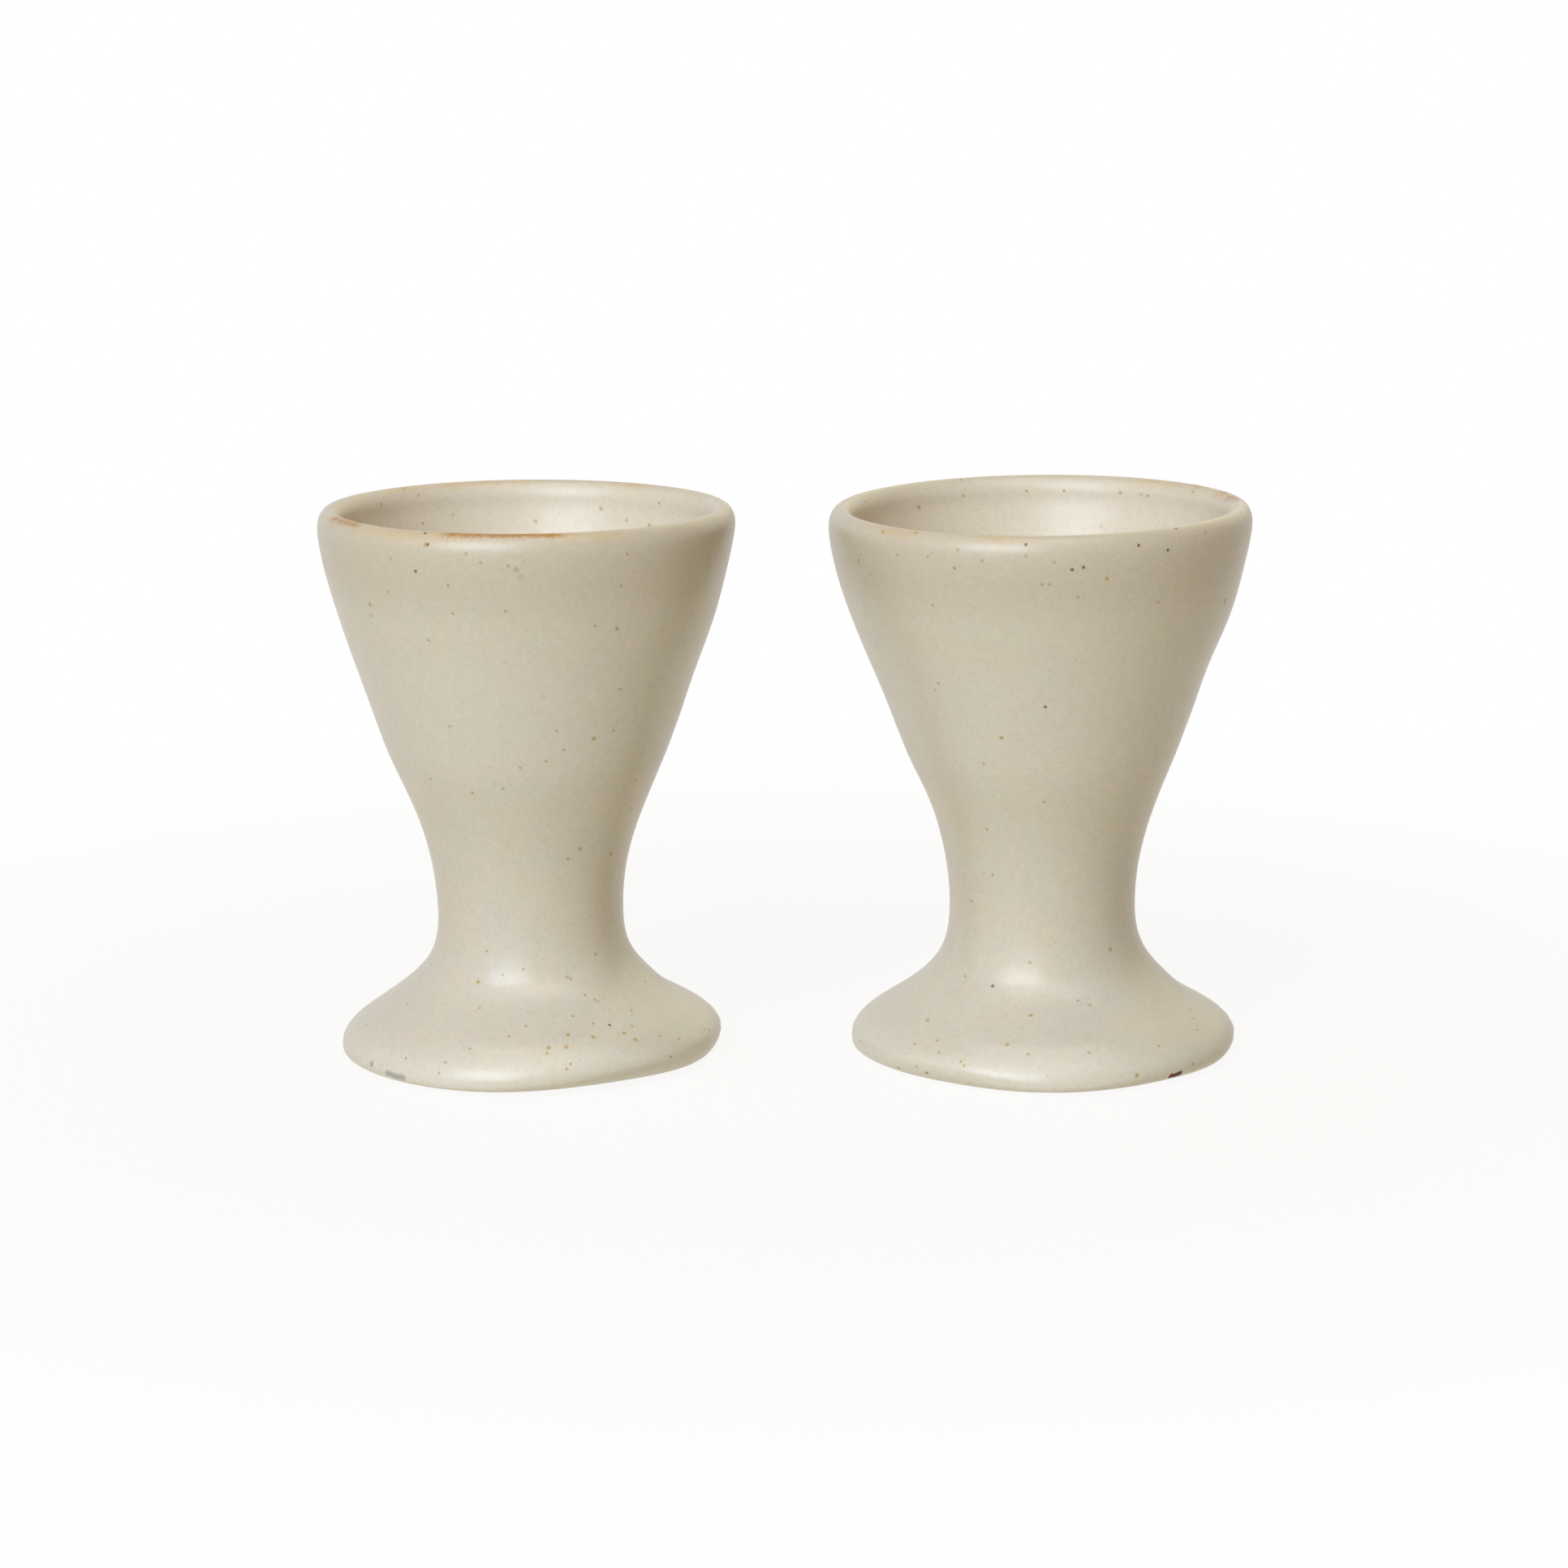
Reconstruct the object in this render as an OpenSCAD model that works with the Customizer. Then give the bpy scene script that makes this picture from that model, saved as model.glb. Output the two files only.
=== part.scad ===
// A pair of footed egg cups in glazed stoneware, finished by hand, side by side.
// Millimetres. +X runs from the left cup to the right one, -Y is the front and
// z = 0 is the table that both cups stand on. Each cup is a fired clay body under
// a fused coat of glaze, which stops short of the bare foot ring.

/* [Pair] */
// Clear gap between the two rims
rim_gap = 11.4; // [6:0.1:40]

/* [Left cup] */
// Height from the table to the rim's crest
left_height = 68.2; // [60:0.1:82]
// Outside diameter of the rim
left_rim_d = 51; // [47:0.1:62]
// Outside diameter of the bowl at bowl_level
left_bowl_d = 35.2; // [32:0.1:38]
// Diameter of the stem at its waist
left_waist_d = 22.9; // [19:0.1:28]
// Height of the waist
left_waist_h = 17.8; // [15:0.1:21]
// Widest diameter of the foot
left_foot_d = 47.2; // [42:0.1:57]
// Height of the foot's widest line
left_foot_line = 2; // [1.5:0.1:3]
// Lean of the cup towards -X, in degrees
left_lean_side = 0.2; // [-1.2:0.1:1.2]
// Lean of the cup towards the front, in degrees
left_lean_front = -0.6; // [-1.2:0.1:1.2]

/* [Right cup] */
// Height from the table to the rim's crest
right_height = 68.4; // [60:0.1:82]
// Outside diameter of the rim
right_rim_d = 51.8; // [47:0.1:62]
// Outside diameter of the bowl at bowl_level
right_bowl_d = 34.3; // [32:0.1:38]
// Diameter of the stem at its waist
right_waist_d = 22.9; // [19:0.1:28]
// Height of the waist
right_waist_h = 18.2; // [15:0.1:21]
// Widest diameter of the foot
right_foot_d = 47.8; // [42:0.1:57]
// Height of the foot's widest line
right_foot_line = 1.8; // [1.5:0.1:3]
// Lean of the cup towards -X, in degrees
right_lean_side = 0.9; // [-1.2:0.1:1.2]
// Lean of the cup towards the front, in degrees
right_lean_front = 0.2; // [-1.2:0.1:1.2]

/* [Bowl and rim] */
// Height at which the bowl's outside diameter is given
bowl_level = 39; // [36:0.1:42]
// Steepness of the bowl's flank at bowl_level, in degrees above level
flank_angle = 71.6; // [67:0.1:76]
// Thickness of the rim across its lip
lip_w = 3.1; // [2.6:0.1:4]
// Rise from the rim's widest line to its crest
lip_h = 1.9; // [1.4:0.1:2.6]
// Thickness of the bowl's wall at bowl_level, glaze included
wall = 3.8; // [3.2:0.1:5]
// Height of the bowl's floor above the table
floor_h = 28; // [26:0.1:32]

/* [Foot] */
// Inset of the table contact's outer edge from the foot's widest line
foot_round = 2.6; // [2.2:0.1:4]
// Width of the flat ring that touches the table
ring_w = 3.6; // [2.5:0.1:6]
// Depth of the recess under the foot
recess = 3; // [1.5:0.1:3.5]
// Slope of the foot's upper side, in degrees above level
skirt_angle = 33; // [28:0.1:40]
// Inset of the skirt's flattest point from the foot's widest line
skirt_in = 4; // [2.8:0.1:4.5]
// Rise of the skirt's flattest point above the foot's widest line
skirt_up = 4; // [3:0.1:4.5]

/* [Glaze] */
// Thickness of the fused glaze
glaze_t = 0.4; // [0.2:0.05:0.6]
// Height at which the glaze ends, with the clay bare below it
glaze_line = 0.6; // [0.6:0.1:1.4]
// Length over which the glaze thins out to its edge
glaze_roll = 1.2; // [0.6:0.1:2]

/* [Hidden] */
$fn = 180;

// Clay left below the table plane, which is ground off flat once the cup leans
grind = 1;
// Steps in each curve of the outline
fine = 12;
coarse = 6;
// Pulls: how far a curve follows the direction of the point that it leaves or reaches
nose_pull = 1.4;
skirt_pull_low = 3.2;
skirt_pull_high = 8;
waist_pull_low = 4.9;
waist_pull_high = 9.8;
flank_pull_low = 5;
flank_pull_high = 7.7;
rim_pull = 6.7;
lip_pull = 3;
inside_pull = 6;
floor_pull = 7;
// The same for the recess under the foot, as a share of its radius
recess_pull = 0.7;

// Each cup's own sizes as one list, then the names that its entries are read by
left = [left_height, left_rim_d / 2, left_bowl_d / 2, left_waist_d / 2, left_waist_h,
        left_foot_d / 2, left_foot_line, left_lean_side, left_lean_front];
right = [right_height, right_rim_d / 2, right_bowl_d / 2, right_waist_d / 2, right_waist_h,
         right_foot_d / 2, right_foot_line, right_lean_side, right_lean_front];
function height(c) = c[0];
function rim_r(c) = c[1];
function bowl_r(c) = c[2];
function waist_r(c) = c[3];
function waist_h(c) = c[4];
function foot_r(c) = c[5];
function foot_line(c) = c[6];
function lean_side(c) = c[7];
function lean_front(c) = c[8];

// The two rims and the gap between them are centred on the origin
pair_w = left_rim_d + rim_gap + right_rim_d;
left_x = (left_rim_d - pair_w) / 2;
right_x = (pair_w - right_rim_d) / 2;

// Directions of travel along the outline, which runs from the foot, over the rim, to the floor
outward = 0;
up = 90;
skirt_dir = 180 - skirt_angle;
inward = 180;
down = 270;
inside_dir = 180 + flank_angle;

function toward(a) = [cos(a), sin(a)];

// Cubic curve from p, left in direction a, to q, reached in direction b, without its last point
function curve(p, a, pull_p, q, b, pull_q, steps) =
    let (p1 = p + pull_p * toward(a), q1 = q - pull_q * toward(b))
    [for (i = [0 : steps - 1]) let (t = i / steps, s = 1 - t)
        s * s * s * p + 3 * s * s * t * p1 + 3 * s * t * t * q1 + t * t * t * q];

// Quarter of an ellipse about a centre, from angle a to angle b, without its last point
function quarter(centre, rx, ry, a, b, steps) =
    [for (i = [0 : steps - 1]) let (t = a + (b - a) * i / steps)
        centre + [rx * cos(t), ry * sin(t)]];

// Outer edge of the ring that touches the table
function contact_r(c) = foot_r(c) - foot_round;

// Angle round the foot's nose at which the outline rises through the glaze line
function glaze_start(c) = asin(glaze_line / foot_line(c) - 1);

// The foot's nose, from angle a to angle b below its widest line
function nose(c, a, b) =
    quarter([contact_r(c), foot_line(c)], foot_r(c) - glaze_t - contact_r(c), foot_line(c), a, b, coarse);

// Bare clay: the recess under the foot, the ground ring and the nose up to the glaze line
function bare_outline(c) =
    let (ring_r = contact_r(c) - ring_w)
    concat(curve([0, recess], outward, ring_r * recess_pull, [ring_r, 0], down, recess / 2, fine),
           [[ring_r, 0], [ring_r, -grind], [contact_r(c), -grind]],
           nose(c, -90, glaze_start(c)));

// Clay under glaze: nose, skirt, waist, flank, lip, inside wall and floor
function coated_outline(c) =
    let (clay_foot = foot_r(c) - glaze_t,
         clay_rim = rim_r(c) - glaze_t,
         clay_top = height(c) - glaze_t,
         widest = [clay_foot, foot_line(c)],
         skirt = [clay_foot - skirt_in, foot_line(c) + skirt_up],
         waist = [waist_r(c) - glaze_t, waist_h(c)],
         flank = [bowl_r(c) - glaze_t / sin(flank_angle), bowl_level],
         rim = [clay_rim, clay_top - lip_h],
         lip_r = lip_w / 2 - glaze_t,
         crest = [clay_rim - lip_r, clay_top - lip_h],
         mouth = [clay_rim - 2 * lip_r, clay_top - lip_h],
         inside = [bowl_r(c) - (wall - glaze_t) / sin(flank_angle), bowl_level],
         floor = [0, floor_h - glaze_t])
    concat(nose(c, glaze_start(c), 0),
           curve(widest, up, nose_pull, skirt, skirt_dir, skirt_pull_low, coarse),
           curve(skirt, skirt_dir, skirt_pull_high, waist, up, waist_pull_low, fine),
           curve(waist, up, waist_pull_high, flank, flank_angle, flank_pull_low, fine),
           curve(flank, flank_angle, flank_pull_high, rim, up, rim_pull, fine),
           quarter(crest, lip_r, lip_h, 0, 180, fine),
           curve(mouth, down, lip_pull, inside, inside_dir, inside_pull, fine),
           curve(inside, inside_dir, inside_pull, floor, inward, floor_pull, fine),
           [floor]);

// Direction square to the outline at point i, pointing out of the clay
function outside(path, i) =
    let (last = len(path) - 1, step = path[min(i + 1, last)] - path[max(i - 1, 0)])
    i == last ? [0, 1] : [step.y, -step.x] / norm(step);

// Glaze thickness at a distance from the glaze line: a rounded edge, then the full coat
function coat(distance) =
    let (rest = 1 - min(distance / glaze_roll, 1))
    glaze_t * sqrt(1 - rest * rest);

function glazed_outline(path) =
    [for (i = [1 : len(path) - 1]) path[i] + coat(norm(path[i] - path[0])) * outside(path, i)];

// Clay of an upright cup, which goes on below the table plane by the depth of the grind
module clay(c) {
    rotate_extrude() polygon(concat(bare_outline(c), coated_outline(c)));
}

// Fused coat over all of the clay above the glaze line, outside and in
module glaze(c) {
    path = coated_outline(c);
    rotate_extrude() polygon(concat(glazed_outline(path), [for (i = [len(path) - 1 : -1 : 0]) path[i]]));
}

// Sets a cup down with its rim centred at x, leaning as the finished cup does
module set_down(c, x) {
    translate([x + height(c) * sin(lean_side(c)), height(c) * sin(lean_front(c)), 0])
        rotate([lean_front(c), -lean_side(c), 0]) children();
}

// Fired body of one cup, with its foot ring ground flat on the table plane
module fired_body(c, x) {
    difference() {
        set_down(c, x) clay(c);
        translate([x, 0, -3 * grind]) cylinder(r = foot_r(c) + 4 * grind, h = 3 * grind);
    }
}

module left_stoneware_body() {
    color("#b99c78") fired_body(left, left_x);
}

module left_glaze_coat() {
    color("#d6d1c0") set_down(left, left_x) glaze(left);
}

module right_stoneware_body() {
    color("#b99c78") fired_body(right, right_x);
}

module right_glaze_coat() {
    color("#d6d1c0") set_down(right, right_x) glaze(right);
}

left_stoneware_body();
left_glaze_coat();
right_stoneware_body();
right_glaze_coat();
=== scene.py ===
import math

import bmesh
import bpy
import numpy as np
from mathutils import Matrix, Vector


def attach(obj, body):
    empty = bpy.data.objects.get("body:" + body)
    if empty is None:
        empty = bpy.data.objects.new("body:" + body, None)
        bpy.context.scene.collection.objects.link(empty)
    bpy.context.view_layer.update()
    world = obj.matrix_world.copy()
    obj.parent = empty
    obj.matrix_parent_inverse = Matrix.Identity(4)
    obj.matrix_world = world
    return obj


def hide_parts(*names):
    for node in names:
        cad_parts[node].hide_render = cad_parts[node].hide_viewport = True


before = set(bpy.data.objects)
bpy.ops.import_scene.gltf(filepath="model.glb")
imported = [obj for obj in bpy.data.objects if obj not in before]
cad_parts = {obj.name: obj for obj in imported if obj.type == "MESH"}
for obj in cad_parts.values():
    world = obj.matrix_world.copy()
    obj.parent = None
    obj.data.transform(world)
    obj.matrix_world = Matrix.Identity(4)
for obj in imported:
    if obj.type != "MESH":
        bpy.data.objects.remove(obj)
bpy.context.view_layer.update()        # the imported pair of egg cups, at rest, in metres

mm = 0.001
fullTurn = 2 * math.pi


# camera: the photograph's own view

view = {
    "distance": 600 * mm,                          # from the point that it looks at
    "down": 11.8,                                  # degrees below level
    "lens": 111.8,
    "sensor": 36.0,
    "nearest": 20 * mm,                            # what is closer to the camera isn't drawn
    "looksAt": (-0.085 * mm, -0.87 * mm, 33.7 * mm),
    "pixels": 1932,                                # the photograph's width and height
}


def placeCamera():
    data = bpy.data.cameras.new("photoCamera")
    data.sensor_width = view["sensor"]
    data.lens = view["lens"]
    data.clip_start = view["nearest"]
    camera = bpy.data.objects.new("photoCamera", data)
    bpy.context.scene.collection.objects.link(camera)
    down = math.radians(view["down"])
    back = Vector((0, -math.cos(down), math.sin(down)))
    camera.location = Vector(view["looksAt"]) + back * view["distance"]
    camera.rotation_euler = (math.pi / 2 - down, 0, 0)
    bpy.context.scene.camera = camera
    bpy.context.view_layer.update()
    return camera


def placeOn(piece, pixel):
    # the point of a piece that one of the photograph's pixels shows, in metres
    half = view["pixels"] / 2
    focal = view["lens"] / view["sensor"] * view["pixels"]
    through = Vector((pixel[0] - half, half - pixel[1], -focal))
    start = camera.matrix_world.translation
    hit, where, _, _ = piece.ray_cast(start, camera.matrix_world.to_3x3() @ through)
    if not hit:
        raise ValueError(f"pixel {pixel} misses {piece.name}")
    return where


camera = placeCamera()
print("camera placed")


# the cups' outlines, read from the frame

reading = {
    "sameRing": 0.05 * mm,       # rings closer than this are one ring
    "decimals": 5,               # of a metre, to which the vertices are rounded to find the rings
    "tableSkin": 0.001 * mm,     # what lies lower was ground off on the table plane
    "sliver": 1e-12,             # a face of fewer square metres has no sure normal
    "corner": 50,                # a sharper bend, in degrees, stays a corner
    "straight": 0.1,             # a ring at a lesser bend only splits a straight stretch
}


def turningAxis(node):
    # the normals of a turned surface all meet its axis, so this is the line that they meet best
    faces = [f for f in node.data.polygons if f.area > reading["sliver"]]
    centres = np.array([f.center for f in faces])
    normals = np.array([f.normal for f in faces])
    weights = np.sqrt([f.area for f in faces])
    middle = centres.mean(0)
    reach = np.abs(centres - middle).max()
    arms = np.cross((centres - middle) / reach, normals)
    best = np.linalg.svd(np.hstack([arms, normals]) * weights[:, None], full_matrices=False)[2][-1]
    length = np.linalg.norm(best[:3])
    axis = best[:3] / length
    nearest = np.cross(axis, best[3:] / length) * reach + middle
    axis *= np.sign(axis[2])
    return nearest - axis * nearest[2] / axis[2], axis


def findRings(spots, clear):
    # every vertex lies on one of the rings that the outline was turned from
    rings = []
    for spot in np.unique(spots[clear].round(reading["decimals"]), axis=0):
        if not rings or np.linalg.norm(np.array(rings) - spot, axis=1).min() > reading["sameRing"]:
            rings.append(spot)
    ringOf = np.linalg.norm(spots[:, None] - np.array(rings), axis=2).argmin(1)
    return np.array([spots[clear & (ringOf == i)].mean(0) for i in range(len(rings))]), ringOf


def walkRings(rings, joined):
    # the mesh's edges join neighbours, so they lead from the lowest ring on the axis to all the others
    beside = {i: set() for i in range(len(rings))}
    for one, other in joined:
        beside[one].add(other)
        beside[other].add(one)
    onAxis = [i for i in beside if rings[i][0] < reading["sameRing"]]
    order = [min(onAxis, key=lambda i: rings[i][1])]
    while len(order) < len(rings):
        last, left = order[-1], set(beside) - set(order)
        near = beside[last] & left or left
        order.append(min(near, key=lambda i: np.linalg.norm(rings[i] - rings[last])))
    return order


def bends(line):
    # degrees by which a line turns at each point between its ends
    legs = np.diff(line, axis=0)
    headings = legs / np.linalg.norm(legs, axis=1)[:, None]
    return np.degrees(np.arccos(np.clip((headings[:-1] * headings[1:]).sum(1), -1, 1)))


def readOutline(node, foot, axis):
    # the radius and the height of each ring, in the order of the outline
    places = np.zeros(len(node.data.vertices) * 3)
    node.data.vertices.foreach_get("co", places)
    places = places.reshape(-1, 3)
    edges = np.zeros(len(node.data.edges) * 2, int)
    node.data.edges.foreach_get("vertices", edges)
    edges = edges.reshape(-1, 2)
    heights = (places - foot) @ axis
    radii = np.linalg.norm(places - foot - np.outer(heights, axis), axis=1)
    clear = places[:, 2] > reading["tableSkin"]
    rings, ringOf = findRings(np.c_[radii, heights], clear)
    rings = rings[walkRings(rings, ringOf[edges[clear[edges].all(1)]])]
    bent = bends(rings) > reading["straight"]
    return rings[np.r_[True, bent, True]]


def easeBetween(start, leaving, end, reaching, t):
    # a cubic from start to end, which leaves the one and reaches the other at given slopes
    return ((2 * t**3 - 3 * t**2 + 1) * start + (t**3 - 2 * t**2 + t) * leaving
            + (3 * t**2 - 2 * t**3) * end + (t**3 - t**2) * reaching)


def easedOutline(rings, step):
    # a smooth curve through every ring, which keeps the corners and meets the axis level
    mirrored = rings[[1, -2]] * [-1, 1]
    padded = np.vstack([mirrored[:1], rings, mirrored[1:]])
    legs = np.diff(padded, axis=0)
    spans = np.linalg.norm(legs, axis=1)
    headings = legs / spans[:, None]
    turns = bends(padded)
    before, after = spans[:-1, None], spans[1:, None]
    slopes = (headings[:-1] * after + headings[1:] * before) / (before + after)
    eased = []
    for i in range(len(rings) - 1):
        span, leave, reach = spans[i + 1], slopes[i], slopes[i + 1]
        if turns[i] > reading["corner"]:
            leave = headings[i + 1]
        if turns[i + 1] > reading["corner"]:
            reach = headings[i + 1]
        count = max(1, round(span / step))
        for t in np.arange(count) / count:
            eased.append(easeBetween(rings[i], span * leave, rings[i + 1], span * reach, t))
    eased.append(rings[-1])
    return np.array(eased)


# the hand's marks on each cup

# A press is (side, height, depth, wide, tall): side in degrees from the front towards +X, the rest in
# millimetres. A depth below nought is a swelling. A lift is (side, rise, wide), of the foot's edge, and
# a rise below nought lets the edge sag.
leftHand = {
    "tilt": 0.022,            # how much the foot rises towards +X, per unit of distance from its middle
    "uneven": 0.03,           # soft unevenness of the whole surface, in millimetres
    "seed": 11,
    "presses": [
        (-10, 10, 0.95, 14, 3),                                                   # front of the skirt
        (-90, 57, 0.28, 16, 10), (-90, 41, -0.12, 12, 4),                         # left side
        (-90, 22, -0.12, 8, 5), (-105, 7.5, -0.14, 12, 2.5),
        (90, 67, -0.14, 20, 2.5), (90, 60, 0.22, 14, 5),                          # right side
        (90, 48, 0.28, 14, 6), (90, 37, 0.18, 12, 4),
        (90, 25, 0.12, 12, 8), (106, 6.8, 0.85, 12, 2.4),
        (8, 0.3, 0.55, 8, 1.4), (32, 0.3, 2.0, 11, 1.4), (84, 0.3, 0.7, 8, 1.4),  # edge of the foot
    ],
    "lifts": [(30, 0.34, 10), (-60, 0.12, 6), (0, -0.8, 25)],
}
rightHand = {
    "tilt": -0.006,
    "uneven": 0.03,
    "seed": 23,
    "presses": [
        (-10, 10, 0.95, 14, 3),                                                   # front of the skirt
        (-90, 57, -0.06, 14, 4), (-90, 46, 0.12, 12, 4),                          # left side
        (-90, 32, 0.33, 14, 6), (-90, 16, -0.10, 10, 3.5), (-106, 8, 0.14, 12, 2.5),
        (90, 62, 0.34, 14, 5), (90, 49, 0.40, 14, 5),                             # right side
        (90, 37, 0.17, 12, 5), (106, 7, 0.60, 12, 2),
        (-68, 0.3, 0.4, 6, 1.2), (-38, 0.3, 1.5, 11, 1.5),                        # edge of the foot
        (30, 0.3, 0.5, 9, 1.4), (44, 0.3, 0.5, 8, 1.4), (84, 0.3, 0.9, 8, 1.6),
    ],
    "lifts": [(-38, 0.38, 11), (28, 0.26, 10), (0, -0.8, 25)],
}
footZone = {                               # in millimetres, apart from the two shares
    "tiltFrom": 16, "tiltFull": 6,         # heights between which the foot's tilt fades in
    "liftFrom": 7, "liftFull": 2,          # and those between which a lift does
    "edge": 20.5,                          # radius past which a lift or a slump sets in
    "slumpFrom": 2.2, "slumpFull": 0.3,    # heights between which the nose of the foot slumps
    "slump": 0.3,                          # the share of its height that it slumps by
    "sink": 0.65,                          # largest share of its height that a point sinks by
    "resting": 0.1,                        # what is lower stays nearly down, so that the cup rests flat
}
softWaves = {                              # the unevenness, a sum of waves that wind round the cup
    "lobes": range(2, 8),                  # crests that each has round the cup: the more, the lower
    "twist": (25, 60),                     # millimetres up the cup in which they shift round by one
}


def softStep(value):
    value = np.clip(value, 0, 1)
    return value * value * (3 - 2 * value)


def fadeDown(height, start, full):
    # 0 above the first height and 1 below the second
    return softStep((start - height) / (start - full))


def widthsRound(angle, side, radius, wide):
    # distance round the cup from one side, in widths
    return ((angle - math.radians(side) + math.pi) % fullTurn - math.pi) * radius / wide


def handShape(hand, angle, height, radius):
    # how far the hand moved each point outwards and up: the same for the clay and the glaze on it
    height, radius = height / mm, radius / mm
    zone = footZone
    rng = np.random.default_rng(hand["seed"])
    wander = np.zeros_like(angle)
    for lobes in softWaves["lobes"]:
        phase = rng.uniform(0, fullTurn)
        twist = rng.uniform(*softWaves["twist"])
        wander += np.cos(lobes * angle + phase + fullTurn * height / twist) / lobes
    outward = hand["uneven"] * wander
    for side, middle, depth, wide, tall in hand["presses"]:
        outward -= depth * np.exp(-widthsRound(angle, side, radius, wide) ** 2
                                  - ((height - middle) / tall) ** 2)
    onEdge = softStep(radius - zone["edge"])
    rise = hand["tilt"] * fadeDown(height, zone["tiltFrom"], zone["tiltFull"]) * radius * np.sin(angle)
    lifted = fadeDown(height, zone["liftFrom"], zone["liftFull"])
    for side, lift, wide in hand["lifts"]:
        rise += lift * lifted * np.exp(-widthsRound(angle, side, radius, wide) ** 2) * onEdge
    slumped = fadeDown(height, zone["slumpFrom"], zone["slumpFull"])
    rise = rise * (1 - slumped) - zone["slump"] * height * slumped * onEdge
    rise = np.maximum(rise, -zone["sink"] * height)
    return outward * mm, rise * np.clip(height / zone["resting"], 0, 1) * mm


# each cup, turned from its outline and then moved by the hand

make = {
    "around": 192,                # quads round a cup
    "glazeStep": 0.62 * mm,       # about the length of a quad along the outline
    "clayStep": 0.9 * mm,
    "flat": 0.002 * mm,           # rings of the outline this close to the table are ground flat on it
}


def turned(name, outline, foot, axis, hand, around):
    # a closed surface of quads, turned from an outline that starts and ends on the axis
    right = Vector((1, 0, 0))
    back = Vector(axis).cross(right).normalized()
    right = back.cross(Vector(axis))
    angles = np.arange(around) / around * fullTurn         # from the front, towards +X
    spokes = np.outer(np.sin(angles), right) - np.outer(np.cos(angles), back)
    radii, heights = outline[:, 0], outline[:, 1]
    places = foot + radii[:, None, None] * spokes + heights[:, None, None] * np.array(axis)
    angle = np.broadcast_to(angles, places.shape[:2])
    radius = np.broadcast_to(radii[:, None], places.shape[:2])
    outward, rise = handShape(hand, angle, np.maximum(places[..., 2], 0), radius)
    places += outward[..., None] * spokes
    places[..., 2] += rise
    ground = np.abs(heights) < make["flat"]
    places[..., 2] = np.where(ground[:, None], 0, np.maximum(places[..., 2], 0))

    shape = bmesh.new()
    rows = []
    for ring, radiusHere in zip(places, radii):
        if radiusHere < reading["sameRing"]:
            rows.append([shape.verts.new(ring.mean(0))])       # one point, on the axis
        else:
            rows.append([shape.verts.new(p) for p in ring])
    for low, high in zip(rows, rows[1:]):
        for k in range(around):
            n = (k + 1) % around
            corners = [low[k % len(low)], low[n % len(low)], high[n % len(high)], high[k % len(high)]]
            shape.faces.new(list(dict.fromkeys(corners)))      # a triangle beside the axis
    bmesh.ops.recalc_face_normals(shape, faces=shape.faces)
    mesh = bpy.data.meshes.new(name)
    shape.to_mesh(mesh)
    shape.free()
    mesh.shade_smooth()
    mesh.set_sharp_from_angle(angle=math.radians(reading["corner"]))
    piece = bpy.data.objects.new(name, mesh)
    bpy.context.scene.collection.objects.link(piece)
    return piece, [len(row) for row in rows]


def writeAlong(piece, rowSizes, name, values):
    # one number for each ring of the outline, kept on the mesh for the material
    spread = np.repeat(values, rowSizes).astype(np.float32)
    piece.data.attributes.new(name, "FLOAT", "POINT").data.foreach_set("value", spread)


def makeCup(side, hand):
    glazeNode, clayNode = side + "_glaze_coat", side + "_stoneware_body"
    foot, axis = turningAxis(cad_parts[glazeNode])
    outline = easedOutline(readOutline(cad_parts[glazeNode], foot, axis), make["glazeStep"])
    glaze, rowSizes = turned(side + "Glaze", outline, foot, axis, hand, make["around"])
    along = np.r_[0, np.cumsum(np.linalg.norm(np.diff(outline, axis=0), axis=1))]
    crest = along[outline[:, 1].argmax()]
    lowest = along[outline[:, 1].argmin()]
    writeAlong(glaze, rowSizes, "pastCrest", (along - crest) / mm)
    writeAlong(glaze, rowSizes, "aboveEdge", (along - lowest) / mm)
    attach(glaze, side + "_cup")
    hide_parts(glazeNode)

    outline = easedOutline(readOutline(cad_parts[clayNode], foot, axis), make["clayStep"])
    clay, _ = turned(side + "Body", outline, foot, axis, hand, make["around"])
    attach(clay, side + "_cup")
    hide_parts(clayNode)
    print(side, "cup turned:", len(glaze.data.polygons), "quads of glaze,",
          len(clay.data.polygons), "of clay")
    return glaze, clay


leftGlaze, leftBody = makeCup("left", leftHand)
rightGlaze, rightBody = makeCup("right", rightHand)


# shader maths

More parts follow.
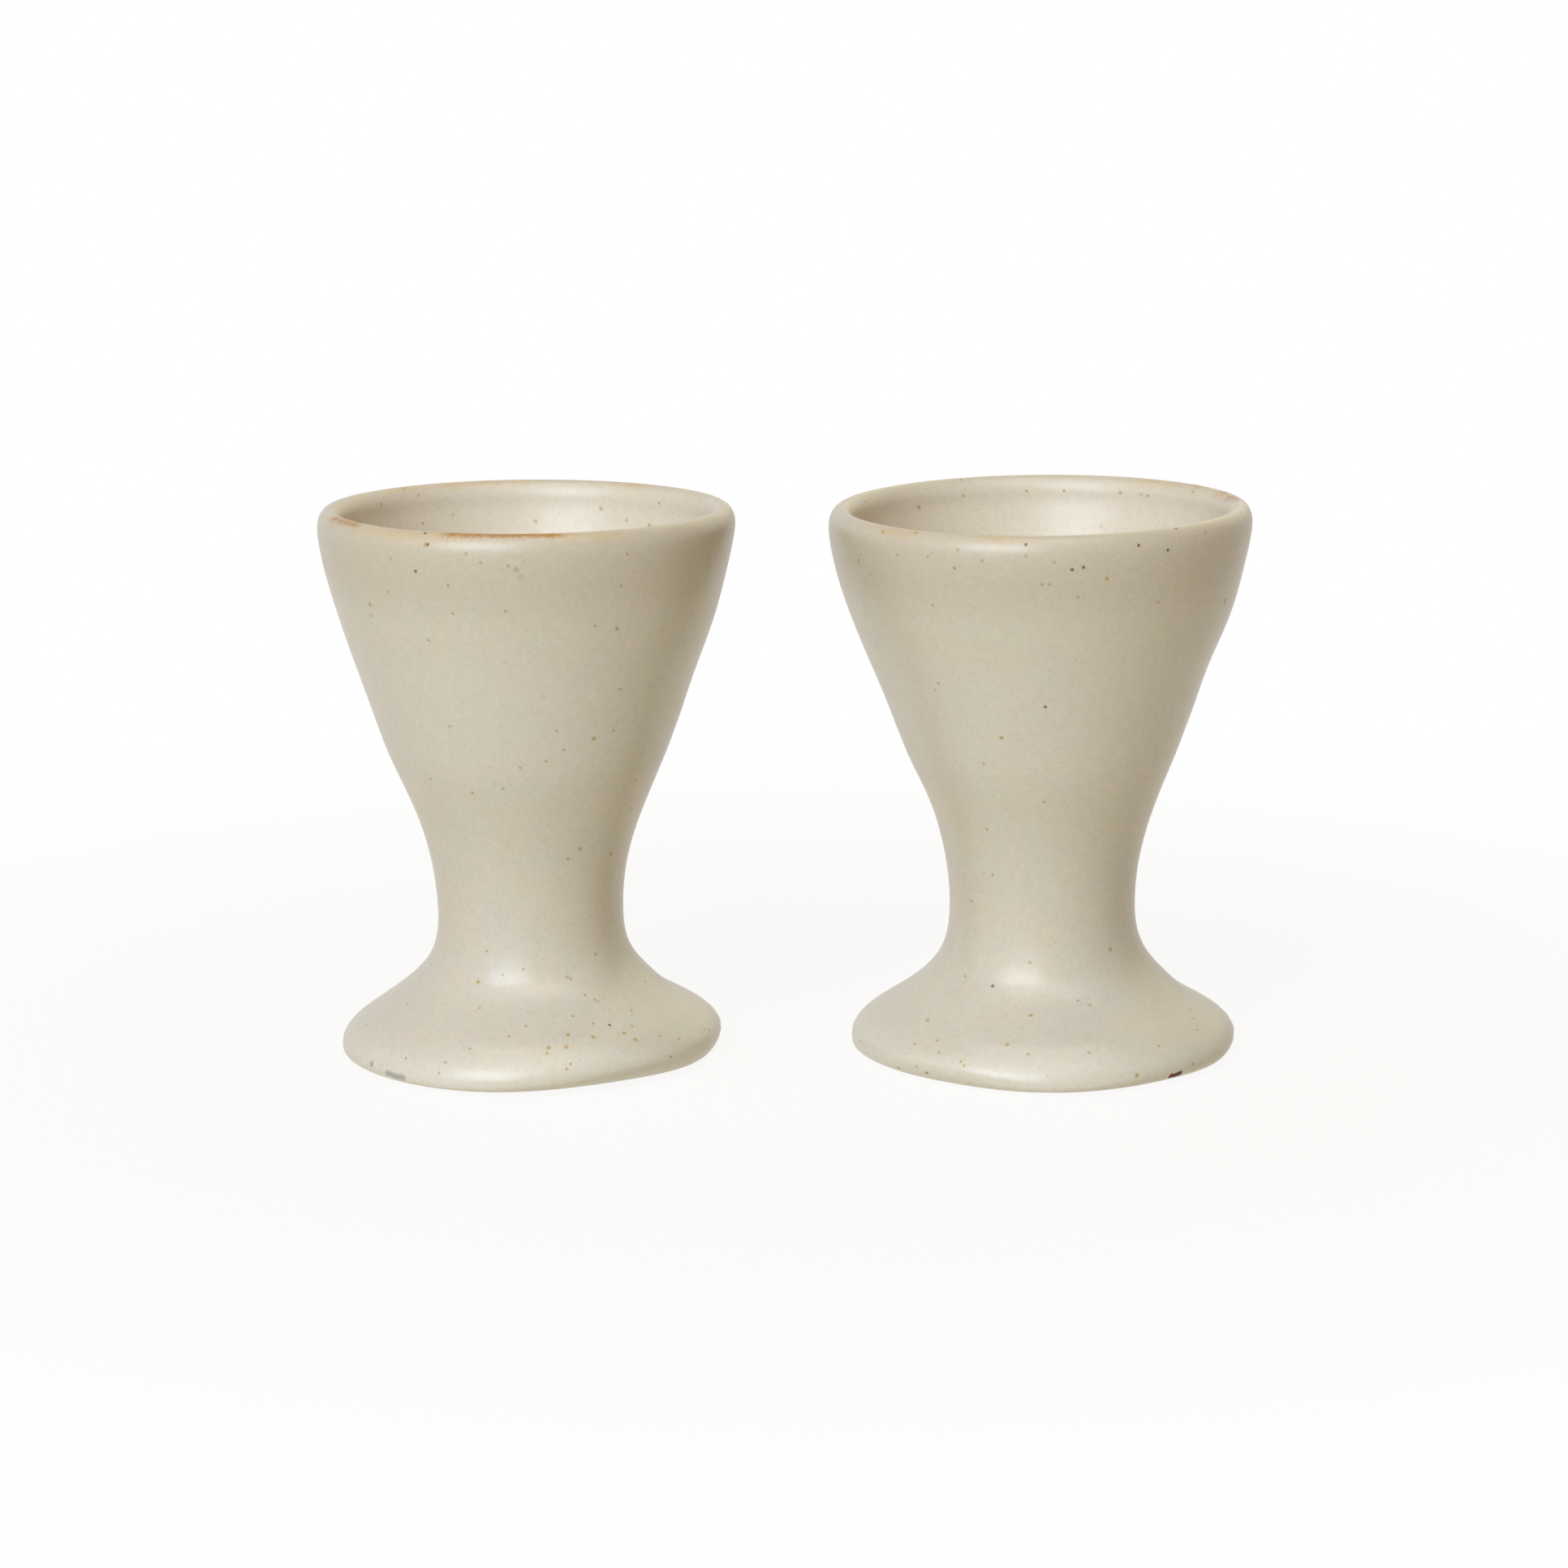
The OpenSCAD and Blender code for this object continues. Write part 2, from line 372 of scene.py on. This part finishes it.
class Wire:
    def __init__(self, tree, socket=None):
        self.tree, self.socket = tree, socket

    def node(self, kind, settings=None, inputs=None, output=0):
        made = self.tree.nodes.new("ShaderNode" + kind)
        for name, value in (settings or {}).items():
            setattr(made, name, value)
        for name, value in (inputs or {}).items():
            if isinstance(value, Wire):
                self.tree.links.new(value.socket, made.inputs[name])
            else:
                made.inputs[name].default_value = value
        return Wire(self.tree, made.outputs[output] if made.outputs else None)

    def maths(self, operation, *values):
        return self.node("Math", {"operation": operation}, dict(enumerate(values)))

    def __add__(self, other):
        return self.maths("ADD", self, other)

    def __radd__(self, other):
        return self.maths("ADD", other, self)

    def __sub__(self, other):
        return self.maths("SUBTRACT", self, other)

    def __rsub__(self, other):
        return self.maths("SUBTRACT", other, self)

    def __mul__(self, other):
        return self.maths("MULTIPLY", self, other)

    def __rmul__(self, other):
        return self.maths("MULTIPLY", other, self)

    def __abs__(self):
        return self.maths("ABSOLUTE", self)

    def larger(self, other):
        return self.maths("MAXIMUM", self, other)

    def smaller(self, other):
        return self.maths("MINIMUM", self, other)

    def fade(self, nought, one):
        # 0 at the first value and 1 at the second, with a soft start and stop
        return self.node("MapRange", {"interpolation_type": "SMOOTHSTEP"},
                         {"Value": self, "From Min": nought, "From Max": one})

    def near(self, middle, full, gone):
        # 1 up to one distance from the middle value and 0 from the other on
        return 1 - abs(self - middle).fade(full, gone)

    def between(self, colour, other):
        # a mask's mix of two colours, from the first where it is 0 to the second where it is 1
        return self.node("Mix", {"data_type": "RGBA"}, {0: self, 6: colour, 7: other}, output=2)

    def toward(self, colour, share):
        # this colour, mixed with another by a mask
        return self.node("Mix", {"data_type": "RGBA"}, {0: share, 6: self, 7: colour}, output=2)

    def scaled(self, factor):
        return self.node("VectorMath", {"operation": "SCALE"}, {0: self, "Scale": factor})

    def plus(self, vector):
        return self.node("VectorMath", {"operation": "ADD"}, {0: self, 1: vector})

    def awayFrom(self, place):
        return self.node("VectorMath", {"operation": "DISTANCE"}, {0: self, 1: place}, output="Value")

    def grain(self, size, detail, roughness):
        # soft noise whose patches are about size across, from 0 to 1
        return self.node("TexNoise", {}, {"Vector": self, "Scale": 1 / size, "Detail": detail,
                                          "Roughness": roughness})

    def specks(self, cell, radius, share, seed):
        # specks that lie at random, in millimetres: a share of the cells has one, up to the given radius,
        # and each seed looks at another stretch of cells
        moved = self.plus((seed, seed * 1.7, seed * 0.3))
        cells = {"Vector": moved, "Scale": 1 / cell, "Randomness": 1.0}
        distance = moved.node("TexVoronoi", {}, cells, output="Distance") * cell
        lottery = moved.node("TexVoronoi", {}, cells, output="Color")
        chance = lottery.node("SeparateColor", {}, {0: lottery})
        won = chance.fade(1 - share, 1 - share + 0.02)         # nearly every cell wins or loses outright
        return won * (1 - distance.fade(0, radius))


def tone(code):
    # a colour written as on the screen, taken to the shader's own numbers by the screen's curve
    parts = [int(code[i:i + 2], 16) / 255 for i in (0, 2, 4)]
    return tuple(c / 12.92 if c <= 0.04045 else ((c + 0.055) / 1.055) ** 2.4 for c in parts) + (1.0,)


def newMaterial(name, piece):
    # the start of a material's wiring, on the piece that wears it
    material = bpy.data.materials.new(name)
    material.use_nodes = True
    material.node_tree.nodes.clear()
    piece.data.materials.append(material)
    return Wire(material.node_tree)


def placeInMillimetres(wire):
    return wire.node("TexCoord", output="Object").scaled(1 / mm)


def wear(wire, look, base, roughness, height):
    # what changes over the surface, with the fixed values of the look
    normal = wire.node("Bump", {}, {"Strength": look["reliefStrength"], "Distance": look["reliefDepth"],
                                    "Height": height})
    finish = wire.node("BsdfPrincipled", {}, {
        "Base Color": base, "Roughness": roughness, "Normal": normal, "IOR": look["refraction"],
        "Coat Weight": look["coat"], "Coat Roughness": look["coatRoughness"]})
    wire.node("OutputMaterial", {}, {"Surface": finish})


def spots(here, piece, pixels, radius):
    # 1 in the middle of each spot and 0 past its radius, in millimetres
    nearest = None
    for pixel in pixels:
        away = here.awayFrom(placeOn(piece, pixel) / mm)
        nearest = away if nearest is None else nearest.smaller(away)
    return 1 - nearest.fade(0, radius)


# satin glaze

glazeLook = {
    "tone": {
        "cream": tone("cec6b4"),
        "warm": tone("d3c7ae"),
        "cool": tone("c8c7b9"),
        "green": tone("c6cab4"),
        "rosy": tone("d3c5ba"),
        "dim": tone("bcb39d"),
        "bright": tone("dcd5c4"),
        "darkerHigh": tone("c1b7a1"),          # darker, just under the rim
        "full": tone("d1ccbd"),          # lighter, halfway down the bowl
        # painted bounce light: the inside of the bowl made lighter and warmer
        "paintedInsideLight": tone("ded4be"),
        "paleLow": tone("d9d5c5"),        # paler, at the foot's edge
        "tan": tone("c8a048"),           # on the crest of the rim
        "toast": tone("a87206"),
        "ruddy": tone("984c20"),
        "rust": tone("ac8812"),
        "iron": tone("5c3404"),
        "faint": tone("9a8658"),
        "ash": tone("62665f"),
        "chipped": tone("5a2600"),
    },
    "share": {                           # how much of a tone there is where it is strongest
        "cream": 0.35, "green": 0.2, "rosy": 0.2,
        "darkerHigh": 0.85, "full": 0.8, "paintedInsideLight": 0.9, "paleLow": 0.75,
        "dim": 0.55, "bright": 0.46, "faint": 0.26,
        "strayInFront": 0.2, "strayBehind": 0.6,     # rust specks at random: the second adds to the first
        "lipTan": 0.13, "tan": 0.4, "toastLine": 0.95, "toastHaze": 0.38,
        "rust": 0.95, "ironHalo": 0.5, "iron": 0.8, "grey": 0.75, "pimple": 0.7,
    },
    "zone": {                            # between what millimetres along the glaze, past the rim's crest
        "highIn": (-14, -6), "highOut": (0, 2),
        "flankIn": (-40, -26), "flankOut": (-22, -13),
        # where the painted bounce light inside and the extra roughness set in, right at the crest, so
        # that the shade under the rim is painted out too
        "inside": (-0.5, 2.5),
        "lip": (-0.2, 0.5, 2.4),         # a middle, then two distances to either side of it
        "ridge": (-0.3, 0.2, 1.0),
        "edge": (1.5, 7),                # up from the glaze's lower edge
        "behind": (-6, 8),               # straight back from the middle of the cups
    },
    "noise": {                           # size in millimetres, detail, roughness
        "drift": (7, 6, 0.75),
        "grains": (0.9, 5, 0.95),
        "tinge": (3, 3, 0.7),
        "flecks": (0.45, 4, 0.7),
        "patches": (2.2, 6, 0.8),
        "ripple": (2.2, 2, 0.5),
    },
    "apart": {"grains": (0, 31, 0), "tinge": (17, 0, 5)},      # keeps these from following the drift
    "fade": {                            # values of a noise or a spot between which its effect sets in
        "cool": (0.3, 0.7), "green": (0.45, 0.65), "rosy": (0.35, 0.55),
        "dim": (0.2, 0.55), "bright": (0.45, 0.8), "lipTan": (0.35, 0.65),
        "tan": (0.3, 0.6), "toastLine": (0.2, 0.5), "toastHaze": (0.42, 0.62),
        "iron": (0.15, 0.8), "chip": (0.25, 0.5),
    },
    "stray": {                           # specks at random: cell, radius and share of the cells
        "faint": (0.9, 0.24, 0.5),
        "rust": (2.8, 0.42, 0.6),
    },
    "straySeed": 5,                      # draws the rust specks apart from the faint ones
    "radius": {                          # of one mark, in millimetres
        "rust": 0.40, "bigRust": 0.58, "iron": 0.38, "grey": 0.32, "tan": 5, "toast": 2.6,
        "ash": 0.6, "haze": 0.6, "ruddy": 1.6, "chip": 0.75, "pimple": 0.8,
    },
    "broken": {                          # marks that the flecks break up: tone, share, fade of the flecks
        "ash": ("ash", 0.65, (0, 0.5)),
        "haze": ("ash", 0.45, (0.3, 0.6)),
        "ruddy": ("ruddy", 0.8, (0.15, 0.6)),
    },
    "roughness": 0.34,
    "rougher": {"drift": 0.10, "rust": 0.12, "toast": 0.10, "inside": 0.06, "chip": 0.4},
    "relief": {"ripple": 0.5, "grains": 0.15, "pimple": 3},
    "reliefStrength": 0.42,
    "reliefDepth": 0.03 * mm,
    "refraction": 1.5,
    "coat": 0.08,
    "coatRoughness": 0.18,
}

# where each cup's marks lie, as pixels of the photograph
leftMarks = {
    "seed": 3.0,
    "rust": [(552, 721), (457, 759), (558, 756), (623, 753), (733, 771), (528, 789), (756, 900),
             (673, 938), (582, 977), (777, 996), (700, 1058), (470, 621), (521, 645), (812, 620),
             (773, 683), (626, 697), (600, 1172), (502, 1237), (579, 1292), (500, 1304), (627, 1277),
             (648, 1264), (674, 1298), (703, 1311), (698, 1317), (706, 1252), (721, 1226), (779, 1264),
             (795, 1209), (813, 1276), (837, 1280), (827, 1302), (868, 1268), (874, 1269), (734, 1176),
             (541, 1322), (591, 1242), (451, 1263), (731, 1261), (778, 1245), (783, 962), (764, 849)],
    "bigRust": [(456, 745), (676, 1291), (698, 1290), (700, 1275), (731, 1278), (769, 1273), (783, 1281),
                (732, 910), (589, 1210), (715, 1046), (753, 1052), (760, 775), (524, 671)],
    "iron": [(512, 704), (524, 657), (527, 671), (751, 1263)],
    "grey": [(481, 688), (592, 693), (554, 895), (620, 972), (641, 946), (574, 682), (765, 722),
             (686, 901), (695, 924), (531, 960), (699, 1204), (703, 1206), (733, 1232), (737, 1234),
             (478, 729), (549, 1309), (619, 1201), (645, 1194)],
    "toast": [(608, 659), (622, 659), (636, 659), (650, 659), (664, 659), (678, 659), (560, 659),
              (575, 659), (590, 659), (409, 644), (416, 646), (423, 648), (432, 650)],
    "tan": [(460, 655), (490, 657), (520, 658), (545, 659), (700, 658), (740, 657),
            (500, 600), (560, 597), (600, 596), (640, 596), (780, 601)],
    "ash": [(458, 1311), (477, 1322), (480, 1323), (482, 1324), (485, 1325), (488, 1326), (491, 1327),
            (494, 1327), (497, 1328)],
    "haze": [(642, 711), (636, 702)],
    "pimple": [(732, 857)],
}
rightMarks = {
    "seed": 8.0,
    "rust": [(1187, 611), (1067, 618), (1265, 605), (1311, 605), (1414, 611), (1470, 606), (1485, 657),
             (1180, 677), (1176, 700), (1072, 708), (1058, 690), (1212, 941), (1223, 1078), (1156, 842),
             (1269, 1186), (1189, 1203), (1343, 1238), (1157, 1297), (1184, 1308), (1188, 1313),
             (1129, 1314), (1127, 1286), (1060, 1283), (1342, 1297), (1267, 1299), (1471, 1255),
             (1475, 1269), (1467, 1244), (1428, 1289), (1470, 1311), (1328, 1233), (1155, 1282),
             (1287, 988), (1216, 1022), (1197, 1110), (1284, 720)],
    "bigRust": [(1132, 625), (1234, 909), (1364, 713), (1143, 1257), (1270, 1251), (1368, 1170),
                (1401, 1325), (1241, 1287), (1088, 655), (1129, 656)],
    "iron": [(1264, 671), (1321, 702), (1335, 699), (1403, 672), (1439, 678), (1449, 651), (1510, 739),
             (1509, 743), (1223, 1215), (1288, 871), (1107, 1316), (1142, 1322)],
    "grey": [(1210, 691), (1176, 700), (1058, 690), (1152, 850), (1299, 693), (1264, 685), (1143, 686),
             (1106, 684), (1293, 720), (1427, 742), (1149, 746), (1328, 736)],
    "toast": [(1505, 609), (1470, 604)],
    "ruddy": [(1517, 612), (1520, 612), (1523, 613), (1526, 614), (1529, 616)],
    "tan": [(1262, 659), (1295, 659), (1330, 659), (1230, 660), (1105, 655),
            (1414, 599), (1440, 601), (1505, 610)],
    "chip": [(1443, 1326), (1448, 1325), (1453, 1323)],
}


def glazeNoises(here, seed):
    seeded = here.plus((seed, 0, 0))
    noises = {}
    for name, (size, detail, roughness) in glazeLook["noise"].items():
        apart = glazeLook["apart"].get(name)
        noises[name] = (seeded.plus(apart) if apart else seeded).grain(size, detail, roughness)
    return noises


def cloudyGlaze(noises):
    # drifts between warmer and cooler, with a tinge of green or rose
    tones, share, fade = glazeLook["tone"], glazeLook["share"], glazeLook["fade"]
    base = noises["drift"].fade(*fade["cool"]).between(tones["warm"], tones["cool"])
    base = base.toward(tones["cream"], share["cream"])
    base = base.toward(tones["green"], share["green"] * noises["tinge"].fade(*fade["green"]))
    return base.toward(tones["rosy"], share["rosy"] * (1 - noises["tinge"].fade(*fade["rosy"])))


def zoneTonesAndInsideLight(base, pastCrest, aboveEdge, inside):
    # darker just under the lip, lighter halfway down the flank, paler near its lower edge, and painted
    # bounce light inside the bowl, which also paints out the shade under the rim
    tones, share, zone = glazeLook["tone"], glazeLook["share"], glazeLook["zone"]
    high = pastCrest.fade(*zone["highIn"]) * (1 - pastCrest.fade(*zone["highOut"]))
    flank = pastCrest.fade(*zone["flankIn"]) * (1 - pastCrest.fade(*zone["flankOut"]))
    base = base.toward(tones["darkerHigh"], share["darkerHigh"] * high)
    base = base.toward(tones["full"], share["full"] * flank)
    # painted bounce light inside the bowl, which also paints out the shade just under the rim
    base = base.toward(tones["paintedInsideLight"], share["paintedInsideLight"] * inside)
    return base.toward(tones["paleLow"], share["paleLow"] * (1 - aboveEdge.fade(*zone["edge"])))


def grainAndSpecks(base, here, grains, seed):
    # a fine grain of dimmer and brighter, and specks at random, with the rusty ones mostly at the back
    tones, share, fade = glazeLook["tone"], glazeLook["share"], glazeLook["fade"]
    base = base.toward(tones["dim"], share["dim"] * (1 - grains.fade(*fade["dim"])))
    base = base.toward(tones["bright"], share["bright"] * grains.fade(*fade["bright"]))
    faint = here.specks(*glazeLook["stray"]["faint"], seed)
    rusty = here.specks(*glazeLook["stray"]["rust"], seed + glazeLook["straySeed"])
    behind = here.node("SeparateXYZ", {}, {0: here}, output=1).fade(*glazeLook["zone"]["behind"])
    base = base.toward(tones["faint"], share["faint"] * faint)
    return base.toward(tones["rust"], (share["strayInFront"] + share["strayBehind"] * behind) * rusty)


def toastedRim(base, noises, pastCrest, lip, tan, toast):
    # the rim, where the glaze ran off and the fire toasted the clay under it
    tones, share, fade = glazeLook["tone"], glazeLook["share"], glazeLook["fade"]
    ridge = pastCrest.near(*glazeLook["zone"]["ridge"])
    patches, flecks = noises["patches"], noises["flecks"]
    base = base.toward(tones["tan"], share["lipTan"] * lip * patches.fade(*fade["lipTan"]))
    base = base.toward(tones["tan"], share["tan"] * lip * tan * flecks.fade(*fade["tan"]))
    line = ridge * toast * flecks.fade(*fade["toastLine"])
    haze = lip * toast * flecks.fade(*fade["toastHaze"])
    base = base.toward(tones["toast"], share["toastLine"] * line)
    return base.toward(tones["toast"], share["toastHaze"] * haze)


def glazeFinish(piece, marks):
    look = glazeLook
    tones, share, fade = look["tone"], look["share"], look["fade"]
    rougher, relief = look["rougher"], look["relief"]
    wire = newMaterial(piece.name + "Satin", piece)
    here = placeInMillimetres(wire)

    def marked(kind):
        return spots(here, piece, marks[kind], look["radius"][kind])

    pastCrest = wire.node("Attribute", {"attribute_name": "pastCrest"}, output="Fac")
    aboveEdge = wire.node("Attribute", {"attribute_name": "aboveEdge"}, output="Fac")
    noises = glazeNoises(here, marks["seed"])
    lip = pastCrest.near(*look["zone"]["lip"])
    inside = pastCrest.fade(*look["zone"]["inside"])
    toast = marked("toast")
    base = cloudyGlaze(noises)
    base = zoneTonesAndInsideLight(base, pastCrest, aboveEdge, inside)
    base = grainAndSpecks(base, here, noises["grains"], marks["seed"])
    base = toastedRim(base, noises, pastCrest, lip, marked("tan"), toast)

    # the marks that the photograph shows
    rust = marked("rust").larger(marked("bigRust"))
    iron = marked("iron")
    base = base.toward(tones["rust"], share["rust"] * rust * rust)
    base = base.toward(tones["rust"], share["ironHalo"] * iron)
    base = base.toward(tones["iron"], share["iron"] * iron.fade(*fade["iron"]))
    base = base.toward(tones["faint"], share["grey"] * marked("grey"))
    for kind, (colour, most, setsIn) in look["broken"].items():
        if kind in marks:
            base = base.toward(tones[colour], most * marked(kind) * noises["flecks"].fade(*setsIn))

    roughness = (look["roughness"] + rougher["drift"] * (noises["drift"] - 0.5) + rougher["rust"] * rust
                 + rougher["toast"] * lip * toast + rougher["inside"] * inside)
    height = relief["ripple"] * noises["ripple"] + relief["grains"] * noises["grains"]
    if "chip" in marks:
        chip = marked("chip").fade(*fade["chip"])
        base = base.toward(tones["chipped"], chip)
        roughness = roughness + rougher["chip"] * chip
    if "pimple" in marks:
        pimple = marked("pimple")
        base = base.toward(tones["bright"], share["pimple"] * pimple)
        height = height + relief["pimple"] * pimple
    wear(wire, look, base, roughness, height)


# bare fired clay

clayLook = {
    "buff": tone("b99d77"),
    "sand": tone("c9b18c"),
    "grog": tone("7d6347"),
    "grogShare": 0.7,
    "grogSpecks": (0.9, 0.22, 0.4),      # cell and radius in millimetres, share of the cells
    "sandGrain": (0.5, 4, 0.5),          # size in millimetres, detail, roughness of the noise
    "sandFade": (0.35, 0.65),
    "roughness": 0.85,
    "smoother": 0.15,                    # by so much where it is sandy
    "reliefStrength": 0.6,
    "reliefDepth": 0.05 * mm,
    "refraction": 1.45,
    "coat": 0.0,
    "coatRoughness": 0.03,
}


def clayFinish(piece, marks):
    look = clayLook
    wire = newMaterial(piece.name + "Clay", piece)
    here = placeInMillimetres(wire)
    sandy = here.plus((marks["seed"], 0, 0)).grain(*look["sandGrain"])
    base = sandy.fade(*look["sandFade"]).between(look["buff"], look["sand"])
    base = base.toward(look["grog"], look["grogShare"] * here.specks(*look["grogSpecks"], marks["seed"]))
    wear(wire, look, base, look["roughness"] - look["smoother"] * sandy, sandy)


for glaze, clay, marks in ((leftGlaze, leftBody, leftMarks), (rightGlaze, rightBody, rightMarks)):
    glazeFinish(glaze, marks)
    clayFinish(clay, marks)
print("glaze and clay finished")


# table, surround and lamps

studio = {
    "tableSize": 12.0,              # metres
    "table": tone("dfdbcc"),
    "glow": 0.22,                   # share of warm glow in the table, which lights the cups from below
    "warmGlow": (1.0, 0.84, 0.5, 1.0),
    "cameraWhite": 0.90,            # share of plain white in the table that the camera sees near the cups
    "shadowZone": (0.07, 0.22),     # metres from the middle between which that share grows to 1
    "surround": tone("ffffff"),     # what the camera and the gloss see
    "ambient": (0.10, 0.04, 0.0, 1.0),      # what lights the cups from all round
}
lamps = {
    # azimuth in degrees from the camera's side, towards +X; sizes in metres; level is the
    # brightness that the lamp alone gives a white surface which faces it
    "key": {"azimuth": -27, "elevation": 29, "distance": 1.3, "size": (0.84, 0.84),
            "colour": (0.78, 0.86, 1.0), "level": 0.91},
    "overhead": {"azimuth": 0, "elevation": 72, "distance": 1.3, "size": (1.1, 1.1),
                 "colour": (1.0, 1.0, 0.94), "level": 0.4},
    "back": {"azimuth": 150, "elevation": 35, "distance": 1.3, "size": (1.2, 1.2),
             "colour": (1.0, 0.9, 0.4), "level": 0.16},
}


def seenPlain(wire):
    # 1 where the camera sees a surface itself, or sees it in a gloss or through glass
    return wire.node("LightPath", output="Is Camera Ray").larger(
        wire.node("LightPath", output="Is Glossy Ray")).larger(
        wire.node("LightPath", output="Is Transmission Ray"))


def layTable():
    data = bpy.data.meshes.new("table")
    half = studio["tableSize"] / 2
    corners = [(-half, -half, 0), (half, -half, 0), (half, half, 0), (-half, half, 0)]
    data.from_pydata(corners, [], [(0, 1, 2, 3)])
    table = bpy.data.objects.new("table", data)
    bpy.context.scene.collection.objects.link(table)
    wire = newMaterial("tableTop", table)
    away = wire.node("TexCoord", output="Object").awayFrom((0, 0, 0)).fade(*studio["shadowZone"])
    share = studio["cameraWhite"] + (1 - studio["cameraWhite"]) * away
    matt = wire.node("BsdfDiffuse", {}, {"Color": studio["table"]})
    white = wire.node("Emission", {}, {"Color": studio["surround"], "Strength": 1.0})
    glow = wire.node("Emission", {}, {"Color": studio["warmGlow"], "Strength": 1.0})
    lit = wire.node("MixShader", {}, {0: studio["glow"], 1: matt, 2: glow})
    surface = wire.node("MixShader", {}, {0: seenPlain(wire) * share, 1: lit, 2: white})
    wire.node("OutputMaterial", {}, {"Surface": surface})


def surroundWithWhite():
    world = bpy.data.worlds.new("surround")
    world.use_nodes = True
    bpy.context.scene.world = world
    tree = world.node_tree
    tree.nodes.clear()
    wire = Wire(tree)
    soft = wire.node("Background", {}, {"Color": studio["ambient"], "Strength": 1.0})
    white = wire.node("Background", {}, {"Color": studio["surround"], "Strength": 1.0})
    surface = wire.node("MixShader", {}, {0: seenPlain(wire), 1: soft, 2: white})
    wire.node("OutputWorld", {}, {"Surface": surface})


def hangLamp(name, lamp):
    data = bpy.data.lights.new(name, "AREA")
    data.shape = "RECTANGLE"
    data.size, data.size_y = lamp["size"]
    data.color = lamp["colour"]
    data.energy = lamp["level"] * math.pi ** 2 * lamp["distance"] ** 2      # watts, for such a level
    azimuth, elevation = math.radians(lamp["azimuth"]), math.radians(lamp["elevation"])
    out = Vector((math.sin(azimuth) * math.cos(elevation), -math.cos(azimuth) * math.cos(elevation),
                  math.sin(elevation)))
    hung = bpy.data.objects.new(name, data)
    bpy.context.scene.collection.objects.link(hung)
    hung.location = out * lamp["distance"] + Vector(view["looksAt"])
    hung.rotation_euler = out.to_track_quat("Z", "Y").to_euler()


layTable()
surroundWithWhite()
for name, lamp in lamps.items():
    hangLamp(name, lamp)
bpy.context.scene.view_settings.view_transform = "Standard"
print("table, surround and lamps set")
